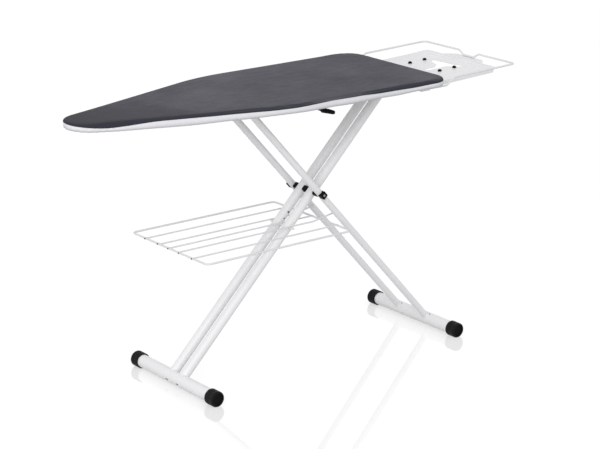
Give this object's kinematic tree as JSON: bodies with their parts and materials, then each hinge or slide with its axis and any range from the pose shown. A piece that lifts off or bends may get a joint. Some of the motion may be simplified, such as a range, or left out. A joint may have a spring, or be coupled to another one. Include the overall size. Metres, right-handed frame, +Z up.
{
  "type": "ironing board",
  "caption": "Folding ironing board: padded tapered table on crossed steel legs whose top bar slides in a slotted rack, with a wire shelf, release lever and iron rest.",
  "frame": {"origin": "on the floor, below the middle of the length from the nose to the iron rest", "axes": "+X along the table towards the iron rest, +Y across it away from the release lever, +Z up"},
  "size_m": [1.501, 0.484, 0.865],
  "materials": {
    "cover": "matte charcoal woven cover",
    "skirt": "matte white hem",
    "foam": "soft foam, hidden under the cover",
    "white_steel": "white powder coat",
    "plated_steel": "zinc plated",
    "black_plastic": "fine matte grain",
    "silicone": "matte"
  },
  "bodies": {
    "tabletop": {"deck_frame": "white_steel", "deck_mesh": "white_steel", "foam_pad": "foam", "cover_top": "cover", "cover_skirt": "skirt", "hinge_bracket": "white_steel", "hinge_pin": "plated_steel", "rack_plate_near": "plated_steel", "rack_plate_far": "plated_steel", "lever_bracket": "plated_steel", "lever_pin": "plated_steel", "rest_rail": "white_steel", "rest_tray": "white_steel", "rest_bumpers": "silicone", "rest_clamp_near": "black_plastic", "rest_clamp_far": "black_plastic", "tray_bracket_near": "white_steel", "tray_bracket_far": "white_steel"},
    "leg_a": {"leg_a_tube_near": "white_steel", "leg_a_tube_far": "white_steel", "leg_a_head": "white_steel", "foot_tube_a": "white_steel", "foot_cap_a_near": "black_plastic", "foot_cap_a_far": "black_plastic", "shelf_rod": "white_steel", "pivot_block": "black_plastic", "pivot_saddle_near": "black_plastic", "pivot_saddle_far": "black_plastic"},
    "leg_b": {"leg_b_tube_near": "white_steel", "leg_b_tube_far": "white_steel", "crossbar": "plated_steel", "bar_plug_near": "black_plastic", "bar_plug_far": "black_plastic", "foot_tube_b": "white_steel", "foot_cap_b_near": "black_plastic", "foot_cap_b_far": "black_plastic", "pivot_bolt": "plated_steel", "pivot_cap_near": "black_plastic", "pivot_cap_far": "black_plastic"},
    "shelf": {"shelf_frame": "white_steel", "shelf_wire_near": "white_steel", "shelf_wire_mid": "white_steel", "shelf_wire_far": "white_steel", "shelf_hook_near": "white_steel", "shelf_hook_far": "white_steel"},
    "lever": {"release_rod": "black_plastic", "lever_grip": "black_plastic", "lock_bar": "plated_steel"}
  },
  "joints": [
    {"name": "leg_fold", "type": "hinge", "parent": "tabletop", "child": "leg_a", "pos_m": [0.3915, 0, 0.827], "axis": [0, 1, 0], "range_deg": [0, 38]},
    {"name": "leg_cross", "type": "hinge", "parent": "leg_a", "child": "leg_b", "pos_m": [0.09027, 0, 0.52153], "axis": [0, 1, 0], "range_deg": [-80, 0]},
    {"name": "shelf_swing", "type": "hinge", "parent": "leg_b", "child": "shelf", "pos_m": [0.1578, 0, 0.44653], "axis": [0, 1, 0], "range_deg": [0, 46]},
    {"name": "lever_pull", "type": "hinge", "parent": "tabletop", "child": "lever", "pos_m": [0.00822, -0.12, 0.8155], "axis": [-1, 0, 0], "range_deg": [0, 4.5], "stiffness_Nm_per_rad": 3, "springref_deg": -8.59}
  ],
  "couplings": [
    {"joint": "leg_cross", "follows": "leg_fold", "ratio": -2.06},
    {"joint": "shelf_swing", "follows": "leg_fold", "ratio": 1.18}
  ]
}
